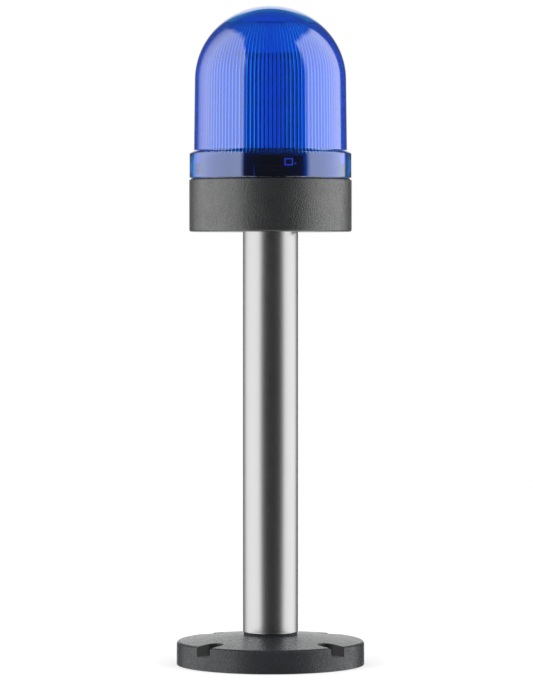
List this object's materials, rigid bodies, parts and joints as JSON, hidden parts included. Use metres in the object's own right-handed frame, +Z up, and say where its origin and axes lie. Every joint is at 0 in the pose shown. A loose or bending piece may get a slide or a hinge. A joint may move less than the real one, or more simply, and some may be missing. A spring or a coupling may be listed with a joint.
{
  "type": "sounder beacon",
  "caption": "Blue ribbed dome beacon with a sounder housing on a round metal pole and a screw-down foot; the lens twists to unlock.",
  "frame": {"origin": "middle of the foot's underside", "axes": "+Z up the pole, -Y towards the front of the beacon"},
  "size_m": [0.085, 0.085, 0.2974],
  "materials": {
    "foot_plastic": "fine-grained moulded plastic",
    "seal_rubber": "soft matt rubber",
    "screw_steel": "zinc-plated steel",
    "plug_plastic": "moulded plastic",
    "pole_metal": "drawn and polished tube",
    "housing_plastic": "fine-grained moulded plastic",
    "sounder_plastic": "moulded plastic",
    "disc_brass": "rolled sheet",
    "board_green": "lacquered board",
    "terminal_plastic": "moulded plastic",
    "can_aluminium": "sleeved can",
    "chip_plastic": "moulded plastic",
    "post_plastic": "moulded plastic",
    "led_board": "lacquered board",
    "led_lens": "clear resin over a pale chip",
    "lens_blue": "clear tinted plastic, polished outside"
  },
  "bodies": {
    "stand": {"foot": "foot_plastic", "foot_gasket": "seal_rubber", "foot_screws": "screw_steel", "pole_foot_plug": "plug_plastic", "pole_foot_seal": "seal_rubber", "pole": "pole_metal", "pole_head_plug": "plug_plastic", "pole_head_screws": "screw_steel", "housing": "housing_plastic", "lens_seal": "seal_rubber", "sounder_gasket": "seal_rubber", "sounder_case": "sounder_plastic", "sounder_disc": "disc_brass", "main_board": "board_green", "board_screws": "screw_steel", "terminal_block": "terminal_plastic", "terminal_screws": "screw_steel", "capacitor": "can_aluminium", "rectifier": "chip_plastic", "driver_chip": "chip_plastic", "led_post": "post_plastic", "post_screws": "screw_steel", "post_cap": "post_plastic", "led_strip_1": "led_board", "leds_1": "led_lens", "led_strip_2": "led_board", "leds_2": "led_lens", "led_strip_3": "led_board", "leds_3": "led_lens", "led_strip_4": "led_board", "leds_4": "led_lens"},
    "lens_cap": {"lens": "lens_blue"}
  },
  "joints": [
    {"name": "lens_twist", "type": "hinge", "parent": "stand", "child": "lens_cap", "pos_m": [0, 0, 0.224], "axis": [0, 0, 1], "range_deg": [0, 30]}
  ]
}
